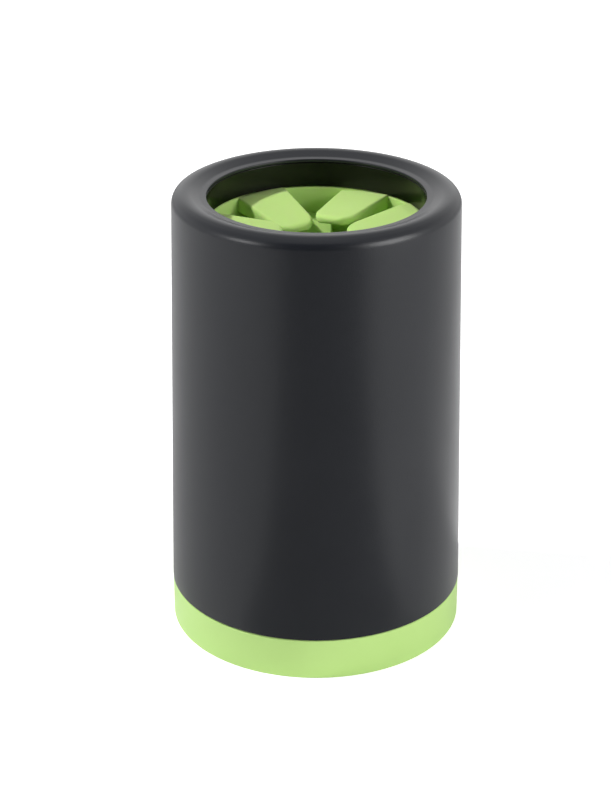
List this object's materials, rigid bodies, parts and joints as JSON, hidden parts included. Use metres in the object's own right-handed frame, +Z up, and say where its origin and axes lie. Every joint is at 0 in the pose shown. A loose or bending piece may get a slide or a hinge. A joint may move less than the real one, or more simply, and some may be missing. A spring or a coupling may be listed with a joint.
{
  "type": "paw washer cup",
  "caption": "Tapered black cup with a rounded rim, tiers of soft green silicone fingers inside its mouth that scrub a dog's paw, and a green base that unscrews for emptying.",
  "frame": {"origin": "centre of the foot ring, on the surface that the cup stands on", "axes": "+Z up the cup's axis through its mouth, -Y the front that the picture shows"},
  "size_m": [0.096, 0.096, 0.1482],
  "materials": {
    "black_matte": "fine matte moulded polypropylene",
    "black_gloss": "polished moulded polypropylene",
    "green_base": "soft matte thermoplastic rubber",
    "green_silicone": "soft matte moulded silicone",
    "seal": "plain silicone"
  },
  "bodies": {
    "base": {"base_cap": "green_base"},
    "seal": {"base_seal": "seal"},
    "insert": {"insert_sleeve": "green_silicone"},
    "shell": {"outer_sleeve": "black_matte", "inner_liner": "black_gloss"},
    "finger_1_1": {"finger_1_1": "green_silicone"},
    "finger_1_2": {"finger_1_2": "green_silicone"},
    "finger_1_3": {"finger_1_3": "green_silicone"},
    "finger_1_4": {"finger_1_4": "green_silicone"},
    "finger_1_5": {"finger_1_5": "green_silicone"},
    "finger_1_6": {"finger_1_6": "green_silicone"},
    "finger_2_1": {"finger_2_1": "green_silicone"},
    "finger_2_2": {"finger_2_2": "green_silicone"},
    "finger_2_3": {"finger_2_3": "green_silicone"},
    "finger_2_4": {"finger_2_4": "green_silicone"},
    "finger_2_5": {"finger_2_5": "green_silicone"},
    "finger_2_6": {"finger_2_6": "green_silicone"},
    "finger_3_1": {"finger_3_1": "green_silicone"},
    "finger_3_2": {"finger_3_2": "green_silicone"},
    "finger_3_3": {"finger_3_3": "green_silicone"},
    "finger_3_4": {"finger_3_4": "green_silicone"},
    "finger_3_5": {"finger_3_5": "green_silicone"},
    "finger_3_6": {"finger_3_6": "green_silicone"}
  },
  "joints": [
    {"name": "sleeve_turn", "type": "hinge", "parent": "base", "child": "seal", "pos_m": [0, 0, 0.0053], "axis": [0, 0, 1], "range_deg": [0, 360]},
    {"name": "thread_climb", "type": "slide", "parent": "seal", "child": "insert", "axis": [0, 0, 1], "range_m": [0, 0.008]},
    {"name": "sleeve_lift", "type": "slide", "parent": "insert", "child": "shell", "axis": [0, 0, 1], "range_m": [0, 0.125]},
    {"name": "finger_1_1_bend", "type": "hinge", "parent": "insert", "child": "finger_1_1", "pos_m": [0.01446, 0.02719, 0.1344], "axis": [0.8829, -0.4695, 0], "range_deg": [-40, 50], "stiffness_Nm_per_rad": 0.015},
    {"name": "finger_1_2_bend", "type": "hinge", "parent": "insert", "child": "finger_1_2", "pos_m": [0.02842, 0.00762, 0.1344], "axis": [0.4153, -0.9097, 0], "range_deg": [-40, 50], "stiffness_Nm_per_rad": 0.015},
    {"name": "finger_1_3_bend", "type": "hinge", "parent": "insert", "child": "finger_1_3", "pos_m": [0.01632, -0.02611, 0.1344], "axis": [-0.848, -0.5299, 0], "range_deg": [-40, 50], "stiffness_Nm_per_rad": 0.015},
    {"name": "finger_1_4_bend", "type": "hinge", "parent": "insert", "child": "finger_1_4", "pos_m": [-0.01446, -0.02719, 0.1344], "axis": [-0.8829, 0.4695, 0], "range_deg": [-40, 50], "stiffness_Nm_per_rad": 0.015},
    {"name": "finger_1_5_bend", "type": "hinge", "parent": "insert", "child": "finger_1_5", "pos_m": [-0.03077, -0.00108, 0.1344], "axis": [-0.0349, 0.9994, 0], "range_deg": [-40, 50], "stiffness_Nm_per_rad": 0.015},
    {"name": "finger_1_6_bend", "type": "hinge", "parent": "insert", "child": "finger_1_6", "pos_m": [-0.01632, 0.02611, 0.1344], "axis": [0.848, 0.5299, 0], "range_deg": [-40, 50], "stiffness_Nm_per_rad": 0.015},
    {"name": "finger_2_1_bend", "type": "hinge", "parent": "insert", "child": "finger_2_1", "pos_m": [0.02611, 0.01632, 0.126], "axis": [0.5299, -0.848, 0], "range_deg": [-40, 50], "stiffness_Nm_per_rad": 0.015},
    {"name": "finger_2_2_bend", "type": "hinge", "parent": "insert", "child": "finger_2_2", "pos_m": [0.02719, -0.01446, 0.126], "axis": [-0.4695, -0.8829, 0], "range_deg": [-40, 50], "stiffness_Nm_per_rad": 0.015},
    {"name": "finger_2_3_bend", "type": "hinge", "parent": "insert", "child": "finger_2_3", "pos_m": [0.00108, -0.03077, 0.126], "axis": [-0.9994, -0.0349, 0], "range_deg": [-40, 50], "stiffness_Nm_per_rad": 0.015},
    {"name": "finger_2_4_bend", "type": "hinge", "parent": "insert", "child": "finger_2_4", "pos_m": [-0.02611, -0.01632, 0.126], "axis": [-0.5299, 0.848, 0], "range_deg": [-40, 50], "stiffness_Nm_per_rad": 0.015},
    {"name": "finger_2_5_bend", "type": "hinge", "parent": "insert", "child": "finger_2_5", "pos_m": [-0.02719, 0.01446, 0.126], "axis": [0.4695, 0.8829, 0], "range_deg": [-40, 50], "stiffness_Nm_per_rad": 0.015},
    {"name": "finger_2_6_bend", "type": "hinge", "parent": "insert", "child": "finger_2_6", "pos_m": [-0.00108, 0.03077, 0.126], "axis": [0.9994, 0.0349, 0], "range_deg": [-40, 50], "stiffness_Nm_per_rad": 0.015},
    {"name": "finger_3_1_bend", "type": "hinge", "parent": "insert", "child": "finger_3_1", "pos_m": [0.01446, 0.02719, 0.1176], "axis": [0.8829, -0.4695, 0], "range_deg": [-40, 50], "stiffness_Nm_per_rad": 0.015},
    {"name": "finger_3_2_bend", "type": "hinge", "parent": "insert", "child": "finger_3_2", "pos_m": [0.03077, 0.00108, 0.1176], "axis": [0.0349, -0.9994, 0], "range_deg": [-40, 50], "stiffness_Nm_per_rad": 0.015},
    {"name": "finger_3_3_bend", "type": "hinge", "parent": "insert", "child": "finger_3_3", "pos_m": [0.01632, -0.02611, 0.1176], "axis": [-0.848, -0.5299, 0], "range_deg": [-40, 50], "stiffness_Nm_per_rad": 0.015},
    {"name": "finger_3_4_bend", "type": "hinge", "parent": "insert", "child": "finger_3_4", "pos_m": [-0.01446, -0.02719, 0.1176], "axis": [-0.8829, 0.4695, 0], "range_deg": [-40, 50], "stiffness_Nm_per_rad": 0.015},
    {"name": "finger_3_5_bend", "type": "hinge", "parent": "insert", "child": "finger_3_5", "pos_m": [-0.03077, -0.00108, 0.1176], "axis": [-0.0349, 0.9994, 0], "range_deg": [-40, 50], "stiffness_Nm_per_rad": 0.015},
    {"name": "finger_3_6_bend", "type": "hinge", "parent": "insert", "child": "finger_3_6", "pos_m": [-0.01632, 0.02611, 0.1176], "axis": [0.848, 0.5299, 0], "range_deg": [-40, 50], "stiffness_Nm_per_rad": 0.015}
  ],
  "couplings": [
    {"joint": "thread_climb", "follows": "sleeve_turn", "m_per_rad": 0.0012732},
    {"joint": "finger_1_2_bend", "follows": "finger_1_1_bend", "ratio": 1},
    {"joint": "finger_1_3_bend", "follows": "finger_1_1_bend", "ratio": 1},
    {"joint": "finger_1_4_bend", "follows": "finger_1_1_bend", "ratio": 1},
    {"joint": "finger_1_5_bend", "follows": "finger_1_1_bend", "ratio": 1},
    {"joint": "finger_1_6_bend", "follows": "finger_1_1_bend", "ratio": 1},
    {"joint": "finger_2_1_bend", "follows": "finger_1_1_bend", "ratio": 1},
    {"joint": "finger_2_2_bend", "follows": "finger_1_1_bend", "ratio": 1},
    {"joint": "finger_2_3_bend", "follows": "finger_1_1_bend", "ratio": 1},
    {"joint": "finger_2_4_bend", "follows": "finger_1_1_bend", "ratio": 1},
    {"joint": "finger_2_5_bend", "follows": "finger_1_1_bend", "ratio": 1},
    {"joint": "finger_2_6_bend", "follows": "finger_1_1_bend", "ratio": 1},
    {"joint": "finger_3_1_bend", "follows": "finger_1_1_bend", "ratio": 1},
    {"joint": "finger_3_2_bend", "follows": "finger_1_1_bend", "ratio": 1},
    {"joint": "finger_3_3_bend", "follows": "finger_1_1_bend", "ratio": 1},
    {"joint": "finger_3_4_bend", "follows": "finger_1_1_bend", "ratio": 1},
    {"joint": "finger_3_5_bend", "follows": "finger_1_1_bend", "ratio": 1},
    {"joint": "finger_3_6_bend", "follows": "finger_1_1_bend", "ratio": 1}
  ]
}
